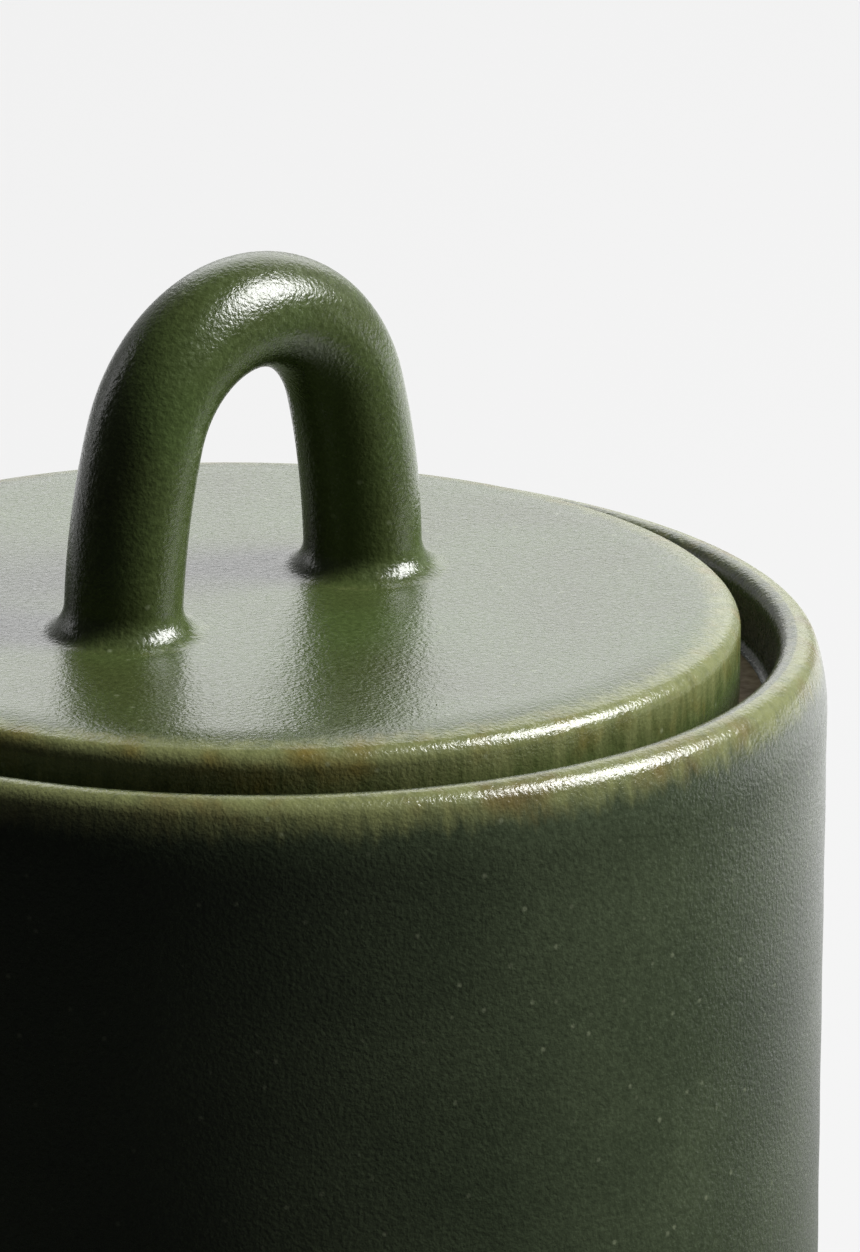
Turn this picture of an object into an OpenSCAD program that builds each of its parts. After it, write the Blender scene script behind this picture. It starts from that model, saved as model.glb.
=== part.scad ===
// Lidded stoneware jar with a drop-in lid and a loop handle.
// Everything is turned about the Z axis except the loop, which stands across it
// along X. Z = 0 is the face that the jar rests on. All sizes are in millimetres.

/* [Jar] */
// Outer diameter of the jar
jar_d = 120; // [90:1:160]
// Height of the jar from the table to the rim's crest
jar_h = 120; // [80:1:200]
// Wall thickness below the lid's ledge
wall = 5; // [3.5:0.1:7]
// Thickness of the floor above the foot's recess
floor_t = 6; // [4:0.5:10]
// Inside radius where the wall runs into the floor
floor_fillet = 9; // [3:0.5:14]
// Radius of the heel, where the wall turns under the jar
heel_r = 4; // [2:0.5:6]
// Width of the ring that the jar stands on
foot_w = 6; // [4:0.5:9]
// Depth of the recess inside the foot ring
foot_recess = 1.8; // [1:0.1:3]

/* [Rim] */
// Thickness of the rim above the lid's ledge
rim_t = 5.3; // [4.2:0.1:7]
// Height over which the outer wall eases in towards the rim
rim_ease_h = 8; // [5:0.5:12]
// Radius of that easing
rim_ease_r = 20; // [16:1:40]
// Radius of the rim's outer edge
rim_outer_r = 2.4; // [1.5:0.1:2.8]
// Radius of the rim's inner edge
rim_inner_r = 1.9; // [1:0.1:2.8]

/* [Ledge for the lid] */
// Depth of the ledge below the rim's crest
ledge_depth = 7; // [4:0.5:12]
// Width of the ledge, from the rim's inside to the throat
ledge_w = 9.5; // [8:0.1:12]
// Height of the straight throat under the ledge, with its rounded edges
ledge_t = 6; // [5:0.5:10]
// Radius of the throat's upper and lower edges
throat_edge_r = 1.2; // [0.5:0.1:1.6]

/* [Lid] */
// Gap round the lid, from its side to the rim's inside
lid_gap = 3.7; // [1.5:0.1:4.3]
// Height of the lid's top above the rim's crest
lid_rise = 3.3; // [1:0.1:8]
// Thickness of the lid's top
lid_t = 5.5; // [4:0.1:8]
// Width over which the lid's top eases down to its edge
lid_ease_w = 7; // [4:0.5:9]
// Radius of that easing
lid_ease_r = 25; // [20:1:60]
// Radius of the lid's upper edge
lid_edge_r = 2; // [1:0.1:2.8]
// Depth of the collar below the ledge
collar_h = 12; // [10:0.5:20]
// Thickness of the collar
collar_t = 4.6; // [3.8:0.1:6]
// Gap between the collar and the throat
collar_gap = 1.3; // [0.8:0.1:2]

/* [Loop handle] */
// Diameter of the round bar that the loop is bent from
handle_d = 12; // [8:0.5:15]
// Distance between the centres of the two legs at the lid
handle_span = 34; // [28:0.5:44]
// Height of the loop above the lid's top
handle_h = 36.6; // [34:0.2:40]
// Radius of the long curve of each leg
leg_r = 72; // [64:1:110]
// Radius of the flare where a leg meets the lid
foot_flare = 3; // [2:0.5:5]

/* [Seal] */
// Depth of the seal's groove in the collar
groove_depth = 1.4; // [1:0.1:2]
// Height of the groove
groove_h = 4.4; // [4:0.1:6]
// Thickness of the seal's band
seal_t = 1.6; // [1:0.1:2.2]
// Number of sealing lips
lips = 2; // [1:1:3]
// Thickness of a lip at its root
lip_t = 1.2; // [0.8:0.1:1.3]
// Gap between the relaxed lips and the throat
lip_gap = 0.4; // [0.3:0.05:0.6]

/* [Hidden] */

// Steps of a revolve, steps round the handle's bar, and steps of a drawn arc
turn_steps = 120;
bar_steps = 48;
arc_steps = 8;
$fn = turn_steps;

glaze_green = "#3F4A32";
loop_green = "#4B5635";
silicone_grey = "#C9C8C1";

// Small edge rounding of the foot ring, the lid's underside and the ledge's corner
foot_edge_r = 0.8;
seat_edge_r = 1;
ledge_corner_r = 1.2;
// Clearance between the seal's band and its groove, above, below and behind
seal_play = 0.1;

jar_r = jar_d / 2;
rim_in = jar_r - rim_t;
inner_r = jar_r - wall;
throat_r = rim_in - ledge_w;
ledge_z = jar_h - ledge_depth;
throat_z = ledge_z - ledge_t;
// The ledge's underside slopes out at 45 degrees, tangent to the throat's lower edge
slope_z = throat_z + throat_r - inner_r + throat_edge_r * (2 - sqrt(2));
floor_z = foot_recess + floor_t;
foot_in = jar_r - heel_r - foot_w;
// The crest is what the outer edge leaves of the rim, so the inner edge keeps to it
rim_inner_fit = min(rim_inner_r, rim_t - ease_width(rim_ease_r, rim_outer_r, rim_ease_h));

lid_r = rim_in - lid_gap;
lid_top = jar_h + lid_rise;
lid_under = lid_top - lid_t;
collar_out = throat_r - collar_gap;
collar_in = collar_out - collar_t;
collar_z = ledge_z - collar_h;
collar_edge_r = collar_t / 3;
hollow_fillet = min(3, lid_under - collar_z - collar_edge_r);

// The groove is level with the middle of the throat
groove_mid = ledge_z - ledge_t / 2;
groove_r = collar_out - groove_depth;

// The loop's centre line: each leg leaves the lid upright on a long curve of radius
// leg_r, and the crown's arc is tangent to both curves
bar_r = handle_d / 2;
leg_x = handle_span / 2;
crown_z = handle_h - bar_r;
leg_offset = leg_r - leg_x;
crown_r = (leg_r * leg_r - leg_offset * leg_offset - crown_z * crown_z)
    / (2 * (leg_r - crown_z));
leg_angle = atan2(crown_z - crown_r, leg_offset);
// Where a leg's curve runs into the crown's
tangent_x = leg_r * cos(leg_angle) - leg_offset;
tangent_z = leg_r * sin(leg_angle);
// Bends run on by this angle past the planes that trim them
bend_spare = 4;
// The flare's arc dips this far under the bar's skin, so that the two cross cleanly
flare_sink = 0.12;

// Points of an arc about c, from angle a to angle b
function arc(c, r, a, b) =
    [for (i = [0 : arc_steps]) c + r * [cos(a + (b - a) * i / arc_steps), sin(a + (b - a) * i / arc_steps)]];

// An edge that eases in over a long arc and then turns over a short one.
// Its points are [inset from the long face, distance from the short face].
function ease_width(big, small, reach) =
    big - sqrt(pow(big - small, 2) - pow(reach - small, 2));
function eased_edge(big, small, reach) =
    let (turn = asin((reach - small) / (big - small)), across = ease_width(big, small, reach))
    concat(
        [for (i = [0 : arc_steps]) let (a = turn * i / arc_steps)
            [big - big * cos(a), reach - big * sin(a)]],
        [for (i = [1 : arc_steps]) let (a = turn + (90 - turn) * i / arc_steps)
            [across - small * cos(a), small - small * sin(a)]]);

// Jar: floor, wall, ledge and rim in one turned profile
module jar_body() {
    rim_edge = eased_edge(rim_ease_r, rim_outer_r, rim_ease_h);
    color(glaze_green)
    rotate_extrude()
    polygon(concat(
        [[0, foot_recess], [foot_in, foot_recess]],
        arc([foot_in + foot_edge_r, foot_edge_r], foot_edge_r, 180, 270),
        arc([jar_r - heel_r, heel_r], heel_r, 270, 360),
        [for (p = rim_edge) [jar_r - p[0], jar_h - p[1]]],
        arc([rim_in + rim_inner_fit, jar_h - rim_inner_fit], rim_inner_fit, 90, 180),
        arc([rim_in - ledge_corner_r, ledge_z + ledge_corner_r], ledge_corner_r, 360, 270),
        arc([throat_r + throat_edge_r, ledge_z - throat_edge_r], throat_edge_r, 90, 180),
        arc([throat_r + throat_edge_r, throat_z + throat_edge_r], throat_edge_r, 180, 225),
        [[inner_r, slope_z]],
        arc([inner_r - floor_fillet, floor_z + floor_fillet], floor_fillet, 360, 270),
        [[0, floor_z]]
    ));
}

// Lid: eased top, flange that stands on the ledge, and a hollow collar with a groove
module lid() {
    top_edge = eased_edge(lid_ease_r, lid_edge_r, lid_ease_w);
    last = len(top_edge) - 1;
    color(glaze_green)
    rotate_extrude()
    polygon(concat(
        [[0, lid_under]],
        arc([collar_in - hollow_fillet, lid_under - hollow_fillet], hollow_fillet, 90, 0),
        arc([collar_in + collar_edge_r, collar_z + collar_edge_r], collar_edge_r, 180, 270),
        arc([collar_out - collar_edge_r, collar_z + collar_edge_r], collar_edge_r, 270, 360),
        [
            [collar_out, groove_mid - groove_h / 2],
            [groove_r, groove_mid - groove_h / 2],
            [groove_r, groove_mid + groove_h / 2],
            [collar_out, groove_mid + groove_h / 2],
            [collar_out, ledge_z]
        ],
        arc([lid_r - seat_edge_r, ledge_z + seat_edge_r], seat_edge_r, 270, 360),
        [for (i = [last : -1 : 0]) [lid_r - top_edge[i][1], lid_top - top_edge[i][0]]],
        [[0, lid_top]]
    ));
}

// Round bar bent to radius r over an angle, starting at the origin along +Y
module bent_bar(r, angle) {
    translate([-r, 0, 0])
    rotate_extrude(angle = angle)
    translate([r, 0])
    circle(bar_r, $fn = bar_steps);
}

// Flare of slip and clay where a leg is luted to the lid
module foot() {
    rotate_extrude($fn = bar_steps)
    polygon(concat(
        [[0, -foot_flare], [bar_r + foot_flare - flare_sink, -foot_flare]],
        arc([bar_r + foot_flare - flare_sink, foot_flare], foot_flare, 270, 180),
        [[0, foot_flare]]
    ));
}

// One leg and its half of the crown, trimmed at the lid's top and at the middle
module half_loop() {
    intersection() {
        translate([0, -handle_span, 0])
        cube([handle_span * 2, handle_span * 2, handle_h * 2]);
        union() {
            translate([leg_x, 0, 0]) foot();
            rotate([90, 0, 0])
            translate([tangent_x, tangent_z, 0])
            rotate([0, 0, leg_angle]) {
                bent_bar(crown_r, 90 - leg_angle + bend_spare);
                mirror([0, 1, 0]) bent_bar(leg_r, leg_angle + bend_spare);
            }
        }
    }
}

// Loop handle: two mirrored halves of one bent bar
module lid_handle() {
    color(loop_green)
    translate([0, 0, lid_top])
    union() {
        half_loop();
        mirror([1, 0, 0]) half_loop();
    }
}

// Seal: a band in the collar's groove with lips that reach towards the throat
module lid_seal() {
    band_in = groove_r + seal_play;
    band_out = band_in + seal_t;
    band_h = groove_h - 2 * seal_play;
    low = groove_mid - band_h / 2;
    lip_out = throat_r - lip_gap;
    pitch = band_h / lips;
    color(silicone_grey)
    rotate_extrude()
    polygon(concat(
        [[band_in, low], [band_out, low]],
        [for (i = [0 : lips - 1]) let (z = low + pitch * (i + 0.5)) each [
            [band_out, z - lip_t / 2],
            [lip_out, z - lip_t / 4],
            [lip_out, z + lip_t / 4],
            [band_out, z + lip_t / 2]
        ]],
        [[band_out, low + band_h], [band_in, low + band_h]]
    ));
}

jar_body();
lid();
lid_handle();
lid_seal();
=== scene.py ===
# A lidded stoneware jar under green satin glaze, on a pale table in soft studio light.
# The camera, the lights and the table come first, and then the jar as it is put together:
# the body, the lid that drops into it, the loop that lifts the lid, and the lid's seal.
import math

import bmesh
import bpy
from mathutils import Matrix, Vector


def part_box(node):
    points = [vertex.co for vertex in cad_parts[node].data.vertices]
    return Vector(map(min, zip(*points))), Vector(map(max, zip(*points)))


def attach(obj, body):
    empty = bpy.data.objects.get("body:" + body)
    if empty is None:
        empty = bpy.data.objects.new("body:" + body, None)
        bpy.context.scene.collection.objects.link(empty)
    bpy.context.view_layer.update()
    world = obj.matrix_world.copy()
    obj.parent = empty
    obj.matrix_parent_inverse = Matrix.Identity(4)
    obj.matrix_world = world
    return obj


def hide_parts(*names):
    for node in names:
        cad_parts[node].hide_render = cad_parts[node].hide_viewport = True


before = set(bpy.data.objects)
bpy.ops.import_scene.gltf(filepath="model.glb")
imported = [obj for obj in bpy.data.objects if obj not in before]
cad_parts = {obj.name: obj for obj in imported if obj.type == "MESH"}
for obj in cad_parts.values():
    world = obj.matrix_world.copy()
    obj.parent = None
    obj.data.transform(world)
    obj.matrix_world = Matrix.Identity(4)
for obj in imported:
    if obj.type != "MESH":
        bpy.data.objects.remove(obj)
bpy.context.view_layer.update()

# The photographer's place: a long lens three metres off, 17 degrees above the rim. It is
# aimed so that the middle of the rim falls on one pixel of the picture, left of its centre.
image_w = 860
image_h = 1252
rim_px, rim_py = 243, 628.5
pixels_per_mm = 9.76
lens_distance = 3.0
lens_height = math.radians(17.3)
lens_turn = math.radians(-44)
# Half a degree, in radians
lens_roll = 0.009
# A millimetre, in the scene's metres
mm = 0.001

rim_centre = Vector((0, 0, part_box("jar_body")[1].z))
to_lens = Vector((
    math.sin(lens_turn) * math.cos(lens_height),
    -math.cos(lens_turn) * math.cos(lens_height),
    math.sin(lens_height),
))
level_right = (-to_lens).cross(Vector((0, 0, 1))).normalized()
level_up = level_right.cross(-to_lens)
right = math.cos(lens_roll) * level_right + math.sin(lens_roll) * level_up
up = math.cos(lens_roll) * level_up - math.sin(lens_roll) * level_right
lens_place = rim_centre + to_lens * lens_distance
aim = rim_centre + (
    right * (image_w / 2 - rim_px) + up * (rim_py - image_h / 2)
) * mm / pixels_per_mm
forward = (aim - lens_place).normalized()
right = (right - forward * right.dot(forward)).normalized()
up = right.cross(forward)
lens_axes = Matrix((right, up, -forward)).transposed()

camera = bpy.data.objects.new("camera", bpy.data.cameras.new("camera"))
camera.data.sensor_width = 36
camera.data.lens = pixels_per_mm * lens_distance / mm / image_h * camera.data.sensor_width
camera.data.clip_end = 20
camera.matrix_world = Matrix.Translation(lens_place) @ lens_axes.to_4x4()
bpy.context.scene.collection.objects.link(camera)
bpy.context.scene.camera = camera
bpy.context.scene.view_settings.view_transform = "Standard"

# Soft boxes of white cloth, unseen by the lens: a key high on the right, a broad one behind
# the jar, whose sheen lies on the lid and lines the jar's sides, and a slim weak one far on
# the left. Each stands in its own direction from the rim, and its sizes are in metres.
level_forward = Vector((-to_lens.x, -to_lens.y, 0)).normalized()


def soft_box(name, right_part, forward_part, up_part, distance, width, height, watts):
    cloth = bpy.data.lights.new(name, "AREA")
    cloth.shape = "RECTANGLE"
    cloth.size = width
    cloth.size_y = height
    cloth.energy = watts
    box = bpy.data.objects.new(name, cloth)
    direction = level_right * right_part + level_forward * forward_part
    direction = (direction + Vector((0, 0, up_part))).normalized()
    box.location = rim_centre + direction * distance
    box.rotation_euler = direction.to_track_quat("Z", "Y").to_euler()
    box.visible_camera = False
    bpy.context.scene.collection.objects.link(box)


soft_box("key_box", right_part=0.74, forward_part=0.04, up_part=0.64,
         distance=1.6, width=0.75, height=1.0, watts=58)
soft_box("back_box", right_part=0.08, forward_part=0.91, up_part=0.4,
         distance=2.4, width=1.7, height=1.7, watts=15)
soft_box("left_box", right_part=-0.85, forward_part=0.45, up_part=0.28,
         distance=2.0, width=0.5, height=1.2, watts=3)


# The room: pale to the lens, lit behind the jar and dark on the photographer's side, so
# that the glaze has something to reflect and the jar's front stays deep.
def linear(hex_colour):
    parts = [int(hex_colour[i:i + 2], 16) / 255 for i in (1, 3, 5)]
    return [c / 12.92 if c <= 0.04045 else ((c + 0.055) / 1.055) ** 2.4 for c in parts] + [1]


# Adds a node with its settings and what goes into it: a link or a plain value, by the name
# of the input, with _ for a space, or by its number, as n0 or n6
def add_node(tree, kind, settings=None, **links):
    node = tree.nodes.new(kind)
    for key, value in (settings or {}).items():
        setattr(node, key, value)
    for key, value in links.items():
        name = key.replace("_", " ")
        by_number = name[0] == "n" and name[1:].isdigit()
        socket = node.inputs[int(name[1:]) if by_number else name]
        if isinstance(value, bpy.types.NodeSocket):
            tree.links.new(value, socket)
        else:
            socket.default_value = value
    return node


backdrop = linear("#F2F2F2")
lit_wall = linear("#C4C4C4")
dark_room = linear("#353535")
# How squarely a ray has to point behind the jar to meet the wall's light, up to 1
light_starts = 0.3

world = bpy.data.worlds.new("studio")
bpy.context.scene.world = world
world.use_nodes = True
tree = world.node_tree
tree.nodes.clear()
way = add_node(tree, "ShaderNodeTexCoord").outputs["Generated"]
behind = add_node(tree, "ShaderNodeVectorMath", {"operation": "DOT_PRODUCT"},
                  n0=way, n1=level_forward)
lit = add_node(tree, "ShaderNodeMapRange", {"interpolation_type": "SMOOTHSTEP"},
               Value=behind.outputs["Value"], From_Min=light_starts, From_Max=1.0)
room = add_node(tree, "ShaderNodeMix", {"data_type": "RGBA"},
                n0=lit.outputs[0], n6=dark_room, n7=lit_wall)
rays = add_node(tree, "ShaderNodeLightPath")
seen = add_node(tree, "ShaderNodeMix", {"data_type": "RGBA"},
                n0=rays.outputs["Is Camera Ray"], n6=room.outputs[2], n7=backdrop)
glow = add_node(tree, "ShaderNodeBackground", Color=seen.outputs[2], Strength=1.0)
add_node(tree, "ShaderNodeOutputWorld", Surface=glow.outputs[0])

# The table: a broad sheet of matt white paper. To reflected and bounced light its colour is
# painted dark towards the photographer: painted shade, as for a table in front of a dark room.
table_reach = 6.0
# The sheet lies a hair lower than the jar's foot, so that the two never share a surface
table_drop = 0.05 * mm
table_corners = [(-1, -1), (1, -1), (1, 1), (-1, 1)]
# From the jar to where the paper's painted shade has given way to its pale colour, in metres
painted_shade_reach = 0.5
# To the lens the paper is mostly one even tone, and the rest of it takes the jar's shadow
paper_tone = linear("#ECECEC")
even_part = 0.88

sheet = bpy.data.meshes.new("table_sheet")
sheet.from_pydata(
    [(x * table_reach, y * table_reach, -table_drop) for x, y in table_corners],
    [],
    [(0, 1, 2, 3)],
)
table = bpy.data.objects.new("table_sheet", sheet)
bpy.context.scene.collection.objects.link(table)


def blank_material(name):
    material = bpy.data.materials.new(name)
    material.use_nodes = True
    material.node_tree.nodes.clear()
    return material


paper = blank_material("matt_white_paper")
tree = paper.node_tree
place = add_node(tree, "ShaderNodeTexCoord").outputs["Object"]
# Painted shade: to all rays but the lens's, the paper goes from dark in front of the jar to pale
# behind it
behind = add_node(tree, "ShaderNodeVectorMath", {"operation": "DOT_PRODUCT"},
                  n0=place, n1=level_forward)
lit = add_node(tree, "ShaderNodeMapRange", {"interpolation_type": "SMOOTHSTEP"},
               Value=behind.outputs["Value"], From_Min=0.0, From_Max=painted_shade_reach)
painted_shade_tone = add_node(tree, "ShaderNodeMix", {"data_type": "RGBA"},
                      n0=lit.outputs[0], n6=dark_room, n7=backdrop)
rays = add_node(tree, "ShaderNodeLightPath")
seen = add_node(tree, "ShaderNodeMix", {"data_type": "RGBA"},
                n0=rays.outputs["Is Camera Ray"], n6=painted_shade_tone.outputs[2], n7=backdrop)
matt = add_node(tree, "ShaderNodeBsdfDiffuse", Color=seen.outputs[2])
even = add_node(tree, "ShaderNodeEmission", Color=paper_tone, Strength=1.0)
to_lens_only = add_node(tree, "ShaderNodeMath", {"operation": "MULTIPLY"},
                        n0=rays.outputs["Is Camera Ray"], n1=even_part)
from_above = add_node(tree, "ShaderNodeMixShader",
                      n0=to_lens_only.outputs[0], n1=matt.outputs[0], n2=even.outputs[0])
# From below the sheet is clear, so that the jar's foot can be seen
below = add_node(tree, "ShaderNodeNewGeometry").outputs["Backfacing"]
clear = add_node(tree, "ShaderNodeBsdfTransparent")
sided = add_node(tree, "ShaderNodeMixShader",
                 n0=below, n1=from_above.outputs[0], n2=clear.outputs[0])
add_node(tree, "ShaderNodeOutputMaterial", Surface=sided.outputs[0])
sheet.materials.append(paper)

# The jar: thick stoneware turned on the wheel and glazed inside and out. The ring that it
# stands on and the ledge for the lid are left bare, so that nothing sticks in the kiln.
# Its sizes, like those of every piece from here on, are in millimetres.
jar_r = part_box("jar_body")[1].x / mm
jar_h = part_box("jar_body")[1].z / mm
wall = 5
inside_r = jar_r - wall
heel_r = 4
foot_in = 50
foot_edge = 0.8
floor_low = 1.8
floor_top = 7.8
floor_fillet = 9
# The rim's outside eases in over a long arc and turns over a short nose
rim_t = 5.3
rim_in = jar_r - rim_t
rim_ease_r = 20
rim_ease_h = 8
rim_outer_r = 2.4
rim_inner_r = 1.9
# The ledge that the lid stands on ends at the throat, and below it the wall thickens at 45
# degrees to carry it
ledge_depth = 7
ledge_w = 9.5
ledge_t = 6
ledge_z = jar_h - ledge_depth
throat_z = ledge_z - ledge_t
throat_r = rim_in - ledge_w
edge_r = 1.2
slope_z = throat_z + throat_r - inside_r + edge_r * (2 - math.sqrt(2))
turn_steps = 256
# A turn of more than this between two faces is a crisp edge
crisp_turn = math.radians(35)


def line(start, end, steps):
    (r0, z0), (r1, z1) = start, end
    return [(r0 + (r1 - r0) * i / steps, z0 + (z1 - z0) * i / steps) for i in range(steps + 1)]


def arc(cx, cz, r, start, end, steps):
    angles = [math.radians(start + (end - start) * i / steps) for i in range(steps + 1)]
    return [(cx + r * math.cos(a), cz + r * math.sin(a)) for a in angles]


# An edge that eases in over a long arc and then turns over a short one, as pairs of how far
# it is in from the one face and how far short of the other
def eased(big, small, reach, steps=14):
    turn = math.asin((reach - small) / (big - small))
    across = big - math.sqrt((big - small) ** 2 - (reach - small) ** 2)
    long_arc = [turn * i / steps for i in range(steps + 1)]
    nose = [turn + (math.pi / 2 - turn) * i / steps for i in range(1, steps + 1)]
    easing = [(big - big * math.cos(a), reach - big * math.sin(a)) for a in long_arc]
    turning = [(across - small * math.cos(a), small - small * math.sin(a)) for a in nose]
    return easing + turning


def nowhere(*place):
    return 0


# Turns an outline of (r, z) points round the jar's axis. bare says where the second material
# lies, thin how thin the glaze runs, and off_round how far the wall lies in from true. A
# closed outline's last point joins its first, and points nearer than same count as one.
def turned(name, outline, bare=nowhere, thin=nowhere, off_round=nowhere, closed=False):
    same = 1e-5
    outline = [p for i, p in enumerate(outline) if i == 0 or math.dist(p, outline[i - 1]) > same]
    shell = bmesh.new()
    thinness = shell.verts.layers.float.new("thin")
    rings = []
    for r, z in outline:
        ring = []
        for i in range(turn_steps if r > same else 1):
            a = 2 * math.pi * i / turn_steps
            reach = r - off_round(r, z, a)
            vert = shell.verts.new((reach * math.cos(a) * mm, reach * math.sin(a) * mm, z * mm))
            vert[thinness] = thin(r, z)
            ring.append(vert)
        rings.append(ring)
    for k in range(len(outline) if closed else len(outline) - 1):
        after = (k + 1) % len(outline)
        low, high = rings[k], rings[after]
        middle_r = (outline[k][0] + outline[after][0]) / 2
        middle_z = (outline[k][1] + outline[after][1]) / 2
        for i in range(turn_steps):
            j = (i + 1) % turn_steps
            corners = [low[i % len(low)], low[j % len(low)], high[j % len(high)], high[i % len(high)]]
            face = shell.faces.new(list(dict.fromkeys(corners)))
            face.smooth = True
            face.material_index = int(bare(middle_r, middle_z))
    bmesh.ops.recalc_face_normals(shell, faces=shell.faces)
    mesh = bpy.data.meshes.new(name)
    shell.to_mesh(mesh)
    shell.free()
    mesh.set_sharp_from_angle(angle=crisp_turn)
    piece = bpy.data.objects.new(name, mesh)
    bpy.context.scene.collection.objects.link(piece)
    return piece


# Rises softly from 0 at start to 1 at end
def fade(value, start, end):
    t = min(1, max(0, (value - start) / (end - start)))
    return t * t * (3 - 2 * t)


# The wheel leaves the outside a few hundredths of a millimetre off round: a slow wander up
# the wall, and the fingers' ridges, about 11 mm apart. A turn is in radians to a millimetre.
def wheel_marks(r, z, a):
    wander_depth = 0.07
    wander_turn = 0.05
    ridge_depth = 0.02
    ridge_turn = 0.55
    ridge_lean = 0.9
    calm_foot = 12
    calm_rim = 10
    if r < (jar_r + inside_r) / 2:
        return 0
    calm = fade(z, 0, calm_foot) * fade(z, jar_h, jar_h - calm_rim)
    wander = 1 + math.sin(2 * a + wander_turn * z)
    ridges = 1 + math.sin(ridge_turn * z + ridge_lean * math.sin(a))
    return calm * (wander_depth * wander + ridge_depth * ridges)


jar_outline = (
    line((0, floor_low), (foot_in, floor_low), steps=12)
    + arc(foot_in + foot_edge, foot_edge, foot_edge, 180, 270, steps=6)
    + arc(jar_r - heel_r, heel_r, heel_r, 270, 360, steps=16)
    + line((jar_r, heel_r), (jar_r, jar_h - rim_ease_h), steps=90)
    + [(jar_r - inset, jar_h - drop) for inset, drop in eased(rim_ease_r, rim_outer_r, rim_ease_h)]
    + arc(rim_in + rim_inner_r, jar_h - rim_inner_r, rim_inner_r, 90, 180, steps=14)
    + arc(rim_in - edge_r, ledge_z + edge_r, edge_r, 360, 270, steps=8)
    + arc(throat_r + edge_r, ledge_z - edge_r, edge_r, 90, 180, steps=8)
    + arc(throat_r + edge_r, throat_z + edge_r, edge_r, 180, 225, steps=5)
    + line((inside_r, slope_z), (inside_r, floor_top + floor_fillet), steps=30)
    + arc(inside_r - floor_fillet, floor_top + floor_fillet, floor_fillet, 360, 270, steps=16)
    + line((inside_r - floor_fillet, floor_top), (0, floor_top), steps=10)
)
# A face is bare if its middle lies this low, or this near the ledge's height and between
# these two radii, which takes in the ledge's flat
bare_foot_z = 0.5
level = 0.05
bare_in = throat_r + 0.5
bare_out = rim_in - 4.5


def jar_bare(r, z):
    on_foot = z < bare_foot_z
    on_ledge = abs(z - ledge_z) < level and bare_in < r < bare_out
    return on_foot or on_ledge


# How thin the glaze runs, from 0 to 1: it drains off the rim's outside most of all, and a
# little off its inside, the throat's edge and the heel
def jar_thin(r, z):
    most = 0.85
    little = 0.5
    crest_r = rim_in + 2
    crest_h = 0.5
    outside_h = 7
    inside_h = 3
    ledge_in = throat_r + 2
    throat_near = 1.5
    throat_low = throat_z - 1
    heel_high = 7
    heel_low = 1
    outside = most * fade(z, jar_h - outside_h, jar_h - crest_h) if r > crest_r else 0
    inside = little * fade(z, jar_h - inside_h, jar_h) if ledge_in < r <= crest_r else 0
    throat = little if abs(r - throat_r) < throat_near and z > throat_low else 0
    heel = little * fade(z, heel_high, heel_low) if r > foot_in else 0
    return max(outside, inside, throat, heel)


jar = turned("jar_turned_body", jar_outline, jar_bare, jar_thin, wheel_marks)


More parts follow.
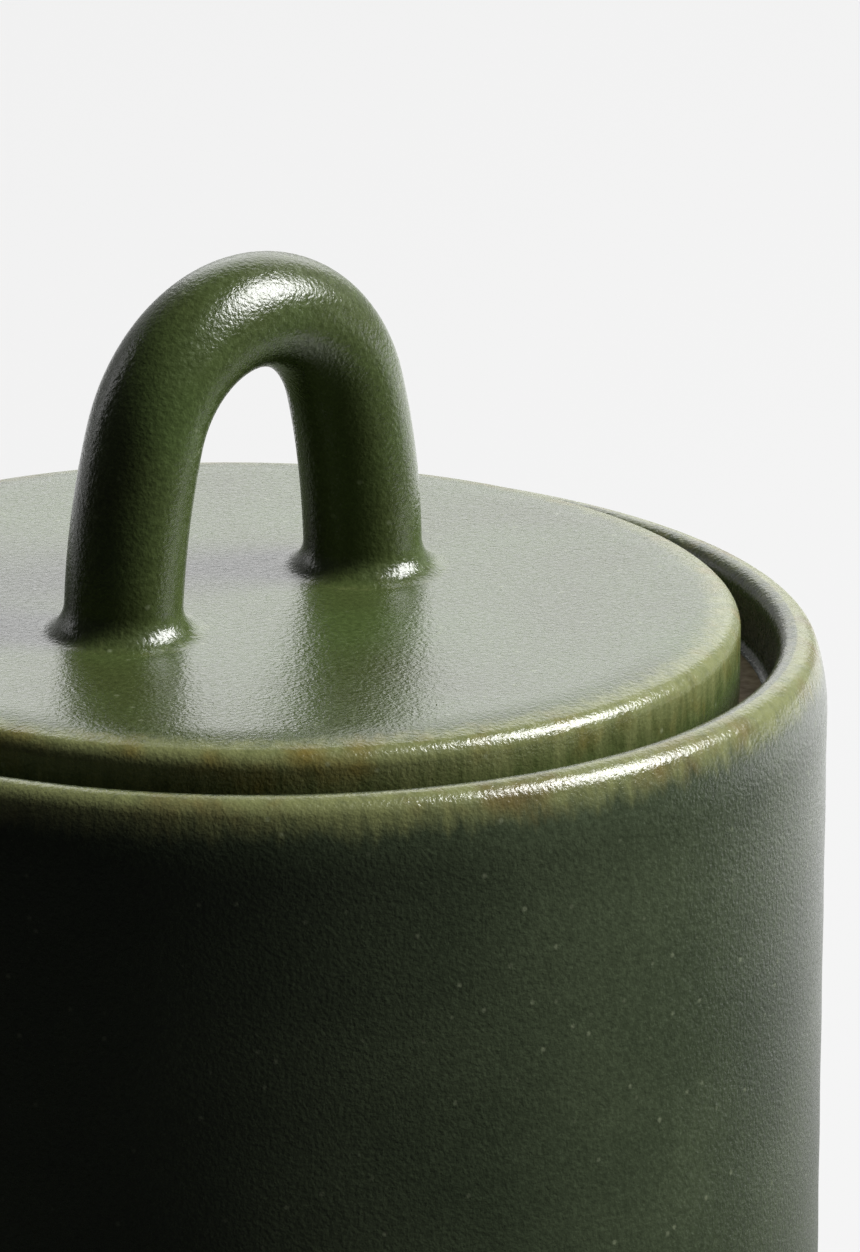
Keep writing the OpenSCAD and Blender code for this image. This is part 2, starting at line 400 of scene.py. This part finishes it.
# Satin stoneware glaze: a soft sheen over fine pits, moss green where it pools, and
# yellow-olive to brown in feathered streaks where it runs thin over an edge. A pattern's
# scale is the number of its spots to a millimetre, over mm.
def satin_glaze(name, deep, green, brown):
    break_olive = linear("#70744A")
    speck_cream = linear("#A3AA8C")
    glaze = blank_material(name)
    tree = glaze.node_tree
    place = add_node(tree, "ShaderNodeTexCoord").outputs["Object"]
    # Clouds 25 mm across, where more or less iron came through
    cloud = add_node(tree, "ShaderNodeTexNoise",
                     Vector=place, Scale=0.04 / mm, Detail=3, Roughness=0.55)
    warmth = add_node(tree, "ShaderNodeMapRange",
                      Value=cloud.outputs[0], From_Min=0.35, From_Max=0.65)
    pool = add_node(tree, "ShaderNodeMix", {"data_type": "RGBA"},
                    n0=warmth.outputs[0], n6=linear(deep), n7=linear(green))
    # Grain of two thirds of a millimetre in the colour itself
    grain = add_node(tree, "ShaderNodeTexNoise",
                     Vector=place, Scale=1.5 / mm, Detail=3, Roughness=0.6)
    grain_part = add_node(tree, "ShaderNodeMapRange",
                          Value=grain.outputs[0], From_Min=0.3, From_Max=0.7,
                          To_Min=0.75, To_Max=1.2)
    grained = add_node(tree, "ShaderNodeVectorMath", {"operation": "SCALE"},
                       n0=pool.outputs[2], Scale=grain_part.outputs[0])
    # Streaks run down the wall, 1.4 mm across and four to five times as long
    stretch = add_node(tree, "ShaderNodeMapping", Vector=place, Scale=(1, 1, 0.22))
    streak = add_node(tree, "ShaderNodeTexNoise",
                      Vector=stretch.outputs[0], Scale=0.7 / mm, Detail=4, Roughness=0.65)
    thin = add_node(tree, "ShaderNodeAttribute", {"attribute_name": "thin"}).outputs["Fac"]
    # They feather the edge of the thin glaze by as much either way
    feather = add_node(tree, "ShaderNodeMath", {"operation": "MULTIPLY_ADD"},
                       n0=streak.outputs[0], n1=0.9, n2=-0.45)
    edge = add_node(tree, "ShaderNodeMath", {"operation": "ADD"}, n0=thin, n1=feather.outputs[0])
    broken = add_node(tree, "ShaderNodeMapRange", {"interpolation_type": "SMOOTHSTEP"},
                      Value=edge.outputs[0], From_Min=0.25, From_Max=1.0)
    # Brown spots in the thin glaze, 5 to 6 mm apart
    rust = add_node(tree, "ShaderNodeTexNoise", Vector=place, Scale=0.18 / mm, Detail=3)
    rust_part = add_node(tree, "ShaderNodeMapRange",
                         Value=rust.outputs[0], From_Min=0.5, From_Max=0.75)
    break_colour = add_node(tree, "ShaderNodeMix", {"data_type": "RGBA"},
                            n0=rust_part.outputs[0], n6=break_olive, n7=linear(brown))
    colour = add_node(tree, "ShaderNodeMix", {"data_type": "RGBA"},
                      n0=broken.outputs[0], n6=grained.outputs[0], n7=break_colour.outputs[2])
    # Pale specks about 3 mm apart, each faded out 0.4 mm from its middle
    speck = add_node(tree, "ShaderNodeTexVoronoi", Vector=place, Scale=0.33 / mm)
    speck_part = add_node(tree, "ShaderNodeMapRange",
                          Value=speck.outputs["Distance"], From_Min=0.05, From_Max=0.12,
                          To_Min=0.22, To_Max=0)
    specked = add_node(tree, "ShaderNodeMix", {"data_type": "RGBA"},
                       n0=speck_part.outputs[0], n6=colour.outputs[2], n7=speck_cream)
    # Pits of 0.4 mm roughen the sheen
    pits = add_node(tree, "ShaderNodeTexNoise",
                    Vector=place, Scale=2.3 / mm, Detail=2, Roughness=0.5)
    skin = add_node(tree, "ShaderNodeBump",
                    Height=pits.outputs[0], Strength=0.7, Distance=0.12 * mm)
    sheen = add_node(tree, "ShaderNodeMapRange",
                     Value=grain.outputs[0], From_Min=0.3, From_Max=0.7,
                     To_Min=0.19, To_Max=0.31)
    shader = add_node(tree, "ShaderNodeBsdfPrincipled",
                      Base_Color=specked.outputs[2], Roughness=sheen.outputs[0],
                      Normal=skin.outputs[0], IOR=1.52)
    add_node(tree, "ShaderNodeOutputMaterial", Surface=shader.outputs[0])
    return glaze


# Bare stoneware: buff clay with dark grog of 1 mm, quite matt and a little sandy to the eye
grog_brown = linear("#8D7A62")
clay_buff = linear("#C2B095")
bare_clay = blank_material("bare_buff_stoneware")
tree = bare_clay.node_tree
place = add_node(tree, "ShaderNodeTexCoord").outputs["Object"]
grog = add_node(tree, "ShaderNodeTexNoise", Vector=place, Scale=0.9 / mm, Detail=4)
grog_part = add_node(tree, "ShaderNodeMapRange",
                     Value=grog.outputs[0], From_Min=0.35, From_Max=0.7)
clay = add_node(tree, "ShaderNodeMix", {"data_type": "RGBA"},
                n0=grog_part.outputs[0], n6=grog_brown, n7=clay_buff)
sand = add_node(tree, "ShaderNodeBump", Height=grog.outputs[0], Strength=0.5, Distance=0.2 * mm)
shader = add_node(tree, "ShaderNodeBsdfPrincipled",
                  Base_Color=clay.outputs[2], Roughness=0.85, Normal=sand.outputs[0])
add_node(tree, "ShaderNodeOutputMaterial", Surface=shader.outputs[0])

# The jar's copy of the glaze is darker and greyer than the lid's and the loop's: painted shade for
# the jar's upright wall, which gets less light than the lid's top and the loop.
jar_glaze_painted_shade = satin_glaze("satin_glaze_painted_shade", deep="#313A28", green="#3C4531", brown="#645A34")
jar.data.materials.append(jar_glaze_painted_shade)
jar.data.materials.append(bare_clay)
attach(jar, "jar")
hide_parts("jar_body")

# The lid: a turned disc that drops onto the ledge, with a hollow collar below it that
# keeps it from sliding. Its flange is wiped bare where it meets the ledge.
lid_gap = 3.7
lid_proud = 3.3
lid_t = 5.5
lid_r = rim_in - lid_gap
lid_top = jar_h + lid_proud
lid_under = lid_top - lid_t
lid_ease_r = 25
lid_ease_w = 7
lid_nose_r = 2
seat_edge = 1
collar_gap = 1.3
collar_t = 4.6
collar_h = 12
collar_out = throat_r - collar_gap
collar_in = collar_out - collar_t
collar_z = ledge_z - collar_h
collar_edge = collar_t / 3
hollow_fillet = 3
# The groove for the seal lies halfway down the throat
groove_depth = 1.4
groove_half = 2.2
groove_mid = ledge_z - ledge_t / 2
groove_low = groove_mid - groove_half
groove_high = groove_mid + groove_half
groove_r = collar_out - groove_depth
# An easing like the rim's, laid across the top of the disc
lid_edge = eased(lid_ease_r, lid_nose_r, lid_ease_w)[::-1]

lid_outline = (
    line((0, lid_under), (collar_in - hollow_fillet, lid_under), steps=8)
    + arc(collar_in - hollow_fillet, lid_under - hollow_fillet, hollow_fillet, 90, 0, steps=10)
    + arc(collar_in + collar_edge, collar_z + collar_edge, collar_edge, 180, 270, steps=8)
    + arc(collar_out - collar_edge, collar_z + collar_edge, collar_edge, 270, 360, steps=8)
    + [(collar_out, groove_low), (groove_r, groove_low)]
    + [(groove_r, groove_high), (collar_out, groove_high)]
    + [(collar_out, ledge_z)]
    + arc(lid_r - seat_edge, ledge_z + seat_edge, seat_edge, 270, 360, steps=8)
    + [(lid_r - inset, lid_top - drop) for drop, inset in lid_edge]
    + line((lid_r - lid_ease_w, lid_top), (0, lid_top), steps=24)
)


def lid_bare(r, z):
    return abs(z - ledge_z) < level and r > collar_out


# The glaze runs thin over the disc's upper edge
def lid_thin(r, z):
    most = 0.8
    edge_w = 6.5
    nose_w = 1
    side_low = ledge_z + 2
    side_high = lid_top - 1.5
    return fade(r, lid_r - edge_w, lid_r - nose_w) * fade(z, side_low, side_high) * most


lid = turned("lid_turned_disc", lid_outline, lid_bare, lid_thin)
lid_glaze = satin_glaze("satin_olive_glaze", deep="#3B4323", green="#414F29", brown="#6E6230")
lid.data.materials.append(lid_glaze)
lid.data.materials.append(bare_clay)
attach(lid, "lid")
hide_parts("lid")

# The loop: one round bar of clay, rolled, bent and luted to the lid with slip, which leaves
# a soft flare at each foot. Its middle line is a long curve up each leg and a short one
# over the crown, where the bar is a little slimmer than in the legs.
bar_r = 6
leg_x = 17
leg_r = 72
loop_h = 36.6
flare_r = 3
leg_offset = leg_r - leg_x
crown_z = loop_h - bar_r
# The crown's curve and the legs' meet without a kink
crown_r = (leg_r ** 2 - leg_offset ** 2 - crown_z ** 2) / (2 * (leg_r - crown_z))
leg_angle = math.atan2(crown_z - crown_r, leg_offset)
loop_sizes = {
    "Leg curve": leg_r * mm,
    "Leg offset": leg_offset * mm,
    "Leg angle": leg_angle,
    "Crown curve": crown_r * mm,
    "Crown centre": (crown_z - crown_r) * mm,
    "Half length": (leg_r * leg_angle + crown_r * (math.pi / 2 - leg_angle)) * mm,
    "Bar radius": bar_r * mm,
    "Flare radius": flare_r * mm,
    "Lid top": lid_top * mm,
}
# The rings along the bar crowd towards the feet, where the flare turns
rings_along = 341
points_round = 96
crowding = 1.8
# The bar swells and slims by a fiftieth of its radius, in a wave from foot to crown
swell_part = 0.02
swell_turn = math.pi * 1.3
# How thin the glaze runs on the flare
flare_thin = 0.35

# The rule of the bar, one sum a line: its name, what it does, and what goes in, which is a
# size above, an earlier line or a number. A switch takes the test, and what it gives where
# the test fails and where it holds. Ways along the bar are counted from the nearer foot.
bar_rule = [
    ("side", "MULTIPLY_ADD", "along", 2.0, -1.0),
    ("from_middle", "ABSOLUTE", "side"),
    ("from_foot", "SUBTRACT", 1.0, "from_middle"),
    ("crowded", "POWER", "from_foot", crowding),
    ("run", "MULTIPLY", "crowded", "Half length"),
    ("leg_length", "MULTIPLY", "Leg curve", "Leg angle"),
    ("on_leg", "LESS_THAN", "run", "leg_length"),
    # On the leg
    ("leg_turn", "DIVIDE", "run", "Leg curve"),
    ("leg_cosine", "COSINE", "leg_turn"),
    ("leg_reach", "MULTIPLY", "leg_cosine", "Leg curve"),
    ("leg_out", "SUBTRACT", "leg_reach", "Leg offset"),
    ("leg_sine", "SINE", "leg_turn"),
    ("leg_up", "MULTIPLY", "leg_sine", "Leg curve"),
    # On the crown
    ("past_leg", "SUBTRACT", "run", "leg_length"),
    ("past_turn", "DIVIDE", "past_leg", "Crown curve"),
    ("crown_turn", "ADD", "Leg angle", "past_turn"),
    ("crown_cosine", "COSINE", "crown_turn"),
    ("crown_out", "MULTIPLY", "crown_cosine", "Crown curve"),
    ("crown_sine", "SINE", "crown_turn"),
    ("crown_up", "MULTIPLY_ADD", "crown_sine", "Crown curve", "Crown centre"),
    # The place on the middle line
    ("out", "SWITCH", "on_leg", "crown_out", "leg_out"),
    ("which_side", "SIGN", "side"),
    ("x", "MULTIPLY", "out", "which_side"),
    ("rise", "SWITCH", "on_leg", "crown_up", "leg_up"),
    ("z", "ADD", "rise", "Lid top"),
    # The flare, a quarter circle that ends level with the lid
    ("flare_rise", "MINIMUM", "rise", "Flare radius"),
    ("in_flare", "SUBTRACT", "Flare radius", "flare_rise"),
    ("flare_square", "POWER", "Flare radius", 2.0),
    ("in_flare_square", "POWER", "in_flare", 2.0),
    ("across_square", "SUBTRACT", "flare_square", "in_flare_square"),
    ("not_below_0", "MAXIMUM", "across_square", 0.0),
    ("across", "SQRT", "not_below_0"),
    ("flare", "SUBTRACT", "Flare radius", "across"),
    ("flare_part", "DIVIDE", "in_flare", "Flare radius"),
    ("thin", "MULTIPLY", "flare_part", flare_thin),
    # The thickness
    ("wave_turn", "MULTIPLY", "from_foot", swell_turn),
    ("wave", "SINE", "wave_turn"),
    ("swell", "MULTIPLY", "wave", swell_part),
    ("swelled", "ADD", "swell", 1.0),
    ("bar_alone", "MULTIPLY", "Bar radius", "swelled"),
    ("bar_reach", "ADD", "bar_alone", "flare"),
]

loop_tree = bpy.data.node_groups.new("bent_bar", "GeometryNodeTree")
for name in loop_sizes:
    loop_tree.interface.new_socket(name, in_out="INPUT", socket_type="NodeSocketFloat")
loop_tree.interface.new_socket("Glaze", in_out="INPUT", socket_type="NodeSocketMaterial")
loop_tree.interface.new_socket("Bar", in_out="OUTPUT", socket_type="NodeSocketGeometry")
sizes = add_node(loop_tree, "NodeGroupInput").outputs
found = {name: sizes[name] for name in loop_sizes}
found["along"] = add_node(loop_tree, "GeometryNodeSplineParameter").outputs["Factor"]
for name, sum_kind, *parts in bar_rule:
    kind, settings = "ShaderNodeMath", {"operation": sum_kind}
    if sum_kind == "SWITCH":
        kind, settings = "GeometryNodeSwitch", {"input_type": "FLOAT"}
    links = {f"n{i}": found.get(part, part) for i, part in enumerate(parts)}
    found[name] = add_node(loop_tree, kind, settings, **links).outputs[0]

path = add_node(loop_tree, "GeometryNodeCurvePrimitiveLine").outputs[0]
path = add_node(loop_tree, "GeometryNodeResampleCurve", Curve=path, Count=rings_along).outputs[0]
for name in ("thin", "bar_reach"):
    path = add_node(loop_tree, "GeometryNodeStoreNamedAttribute",
                    {"data_type": "FLOAT", "domain": "POINT"},
                    Geometry=path, Name=name, Value=found[name]).outputs[0]
spot = add_node(loop_tree, "ShaderNodeCombineXYZ", X=found["x"], Z=found["z"]).outputs[0]
path = add_node(loop_tree, "GeometryNodeSetPosition", Geometry=path, Position=spot).outputs[0]
reach = add_node(loop_tree, "GeometryNodeInputNamedAttribute", {"data_type": "FLOAT"},
                 Name="bar_reach").outputs[0]
ring = add_node(loop_tree, "GeometryNodeCurvePrimitiveCircle",
                Resolution=points_round, Radius=1.0).outputs[0]
bar = add_node(loop_tree, "GeometryNodeCurveToMesh",
               Curve=path, Profile_Curve=ring, Scale=reach).outputs[0]
bar = add_node(loop_tree, "GeometryNodeRealizeInstances", Geometry=bar).outputs[0]
bar = add_node(loop_tree, "GeometryNodeSetShadeSmooth", Geometry=bar).outputs[0]
bar = add_node(loop_tree, "GeometryNodeSetMaterial",
               Geometry=bar, Material=sizes["Glaze"]).outputs[0]
add_node(loop_tree, "NodeGroupOutput", Bar=bar)

maker = bpy.data.objects.new("loop_maker", bpy.data.meshes.new("loop_maker"))
bpy.context.scene.collection.objects.link(maker)
bend = maker.modifiers.new("bend", "NODES")
bend.node_group = loop_tree
for socket in loop_tree.interface.items_tree:
    if socket.in_out == "INPUT":
        bend[socket.identifier] = loop_sizes.get(socket.name, lid_glaze)
bent = maker.evaluated_get(bpy.context.evaluated_depsgraph_get())
loop_mesh = bpy.data.meshes.new_from_object(bent)
loop_mesh.name = "loop_handle_bar"
bpy.data.objects.remove(maker)

# Its two ends are closed where they stand on the lid
shell = bmesh.new()
shell.from_mesh(loop_mesh)
bmesh.ops.holes_fill(shell, edges=[e for e in shell.edges if e.is_boundary], sides=0)
bmesh.ops.recalc_face_normals(shell, faces=shell.faces)
shell.to_mesh(loop_mesh)
shell.free()
loop_mesh.set_sharp_from_angle(angle=crisp_turn)
loop = bpy.data.objects.new("loop_handle_bar", loop_mesh)
bpy.context.scene.collection.objects.link(loop)
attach(loop, "lid")
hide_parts("lid_handle")

# The seal: a moulded silicone ring in the collar's groove, with two soft lips that stand
# just clear of the throat. Silicone is matt, pale and slightly dusty to the eye.
band_play = 0.1
band_t = 1.6
band_in = groove_r + band_play
band_out = band_in + band_t
band_low = groove_low + band_play
band_high = groove_high - band_play
lip_count = 2
lip_pitch = (band_high - band_low) / lip_count
lip_half = 0.6
lip_gap = 0.4
lip_out = throat_r - lip_gap
tip_r = 0.3
silicone_dull = linear("#BDBCB4")
silicone_pale = linear("#D2D1CA")

seal_outline = [(band_in, band_low), (band_out, band_low)]
for i in range(lip_count):
    z = band_low + lip_pitch * (i + 0.5)
    seal_outline += [(band_out, z - lip_half)]
    seal_outline += arc(lip_out - tip_r, z, tip_r, -90, 90, steps=8)
    seal_outline += [(band_out, z + lip_half)]
seal_outline += [(band_out, band_high), (band_in, band_high)]
seal = turned("seal_silicone_ring", seal_outline, closed=True)

silicone = blank_material("moulded_matt_silicone")
tree = silicone.node_tree
place = add_node(tree, "ShaderNodeTexCoord").outputs["Object"]
# Dust in spots of 1 to 2 mm
dust = add_node(tree, "ShaderNodeTexNoise", Vector=place, Scale=0.6 / mm, Detail=3)
tone = add_node(tree, "ShaderNodeMix", {"data_type": "RGBA"},
                n0=dust.outputs[0], n6=silicone_dull, n7=silicone_pale)
skin = add_node(tree, "ShaderNodeBump", Height=dust.outputs[0], Strength=0.2, Distance=0.1 * mm)
shader = add_node(tree, "ShaderNodeBsdfPrincipled", Base_Color=tone.outputs[2], Roughness=0.55,
                  Normal=skin.outputs[0], IOR=1.41)
add_node(tree, "ShaderNodeOutputMaterial", Surface=shader.outputs[0])
seal.data.materials.append(silicone)
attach(seal, "lid")
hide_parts("lid_seal")

# The scene is brought up to date
bpy.context.view_layer.update()
